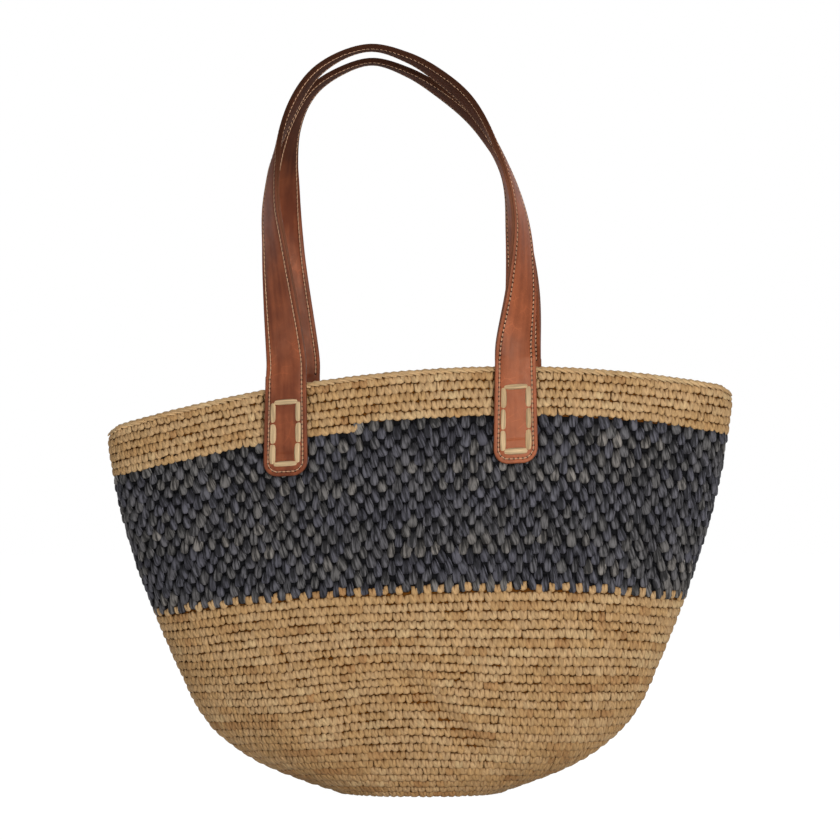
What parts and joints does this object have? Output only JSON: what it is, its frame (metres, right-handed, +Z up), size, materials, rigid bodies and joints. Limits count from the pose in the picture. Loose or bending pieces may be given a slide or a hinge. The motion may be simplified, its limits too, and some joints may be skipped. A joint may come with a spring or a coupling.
{
  "type": "raffia crochet tote bag",
  "caption": "Open crocheted raffia tote with a flattened bucket body in natural and charcoal bands, a flat oval base and two twisted leather strap handles that fold down outside.",
  "frame": {"origin": "on the floor, under the middle of the base", "axes": "+Z up towards the handles, +X to the right as the front is seen, +Y from the front to the back"},
  "size_m": [0.5044, 0.1524, 0.5994],
  "materials": {
    "natural_raffia": "matt crocheted straw-coloured raffia",
    "charcoal_raffia": "matt crocheted charcoal raffia",
    "tan_leather": "smooth tan leather with a soft sheen",
    "seam_thread": "pale waxed sewing thread",
    "lashing_raffia": "flat pale raffia strand"
  },
  "bodies": {
    "bag": {"base": "natural_raffia", "heel_band": "natural_raffia", "lower_band": "natural_raffia", "middle_band": "charcoal_raffia", "upper_band": "natural_raffia", "rim_edging": "natural_raffia", "front_tab_left_face": "tan_leather", "front_tab_left_lining": "tan_leather", "front_tab_left_seam": "seam_thread", "front_tab_left_lashing": "lashing_raffia", "front_tab_right_face": "tan_leather", "front_tab_right_lining": "tan_leather", "front_tab_right_seam": "seam_thread", "front_tab_right_lashing": "lashing_raffia", "back_tab_left_face": "tan_leather", "back_tab_left_lining": "tan_leather", "back_tab_left_seam": "seam_thread", "back_tab_left_lashing": "lashing_raffia", "back_tab_right_face": "tan_leather", "back_tab_right_lining": "tan_leather", "back_tab_right_seam": "seam_thread", "back_tab_right_lashing": "lashing_raffia"},
    "front_handle": {"front_loop_face": "tan_leather", "front_loop_lining": "tan_leather", "front_loop_seam_near": "seam_thread", "front_loop_seam_far": "seam_thread"},
    "back_handle": {"back_loop_face": "tan_leather", "back_loop_lining": "tan_leather", "back_loop_seam_near": "seam_thread", "back_loop_seam_far": "seam_thread"}
  },
  "joints": [
    {"name": "front_handle_fold", "type": "hinge", "parent": "bag", "child": "front_handle", "pos_m": [-0.01525, -0.0685, 0.3419], "axis": [0.9974, 0, 0.0718], "range_deg": [0, 170]},
    {"name": "back_handle_fold", "type": "hinge", "parent": "bag", "child": "back_handle", "pos_m": [-0.0075, 0.068, 0.3425], "axis": [-0.9974, 0, -0.0718], "range_deg": [0, 170]}
  ]
}
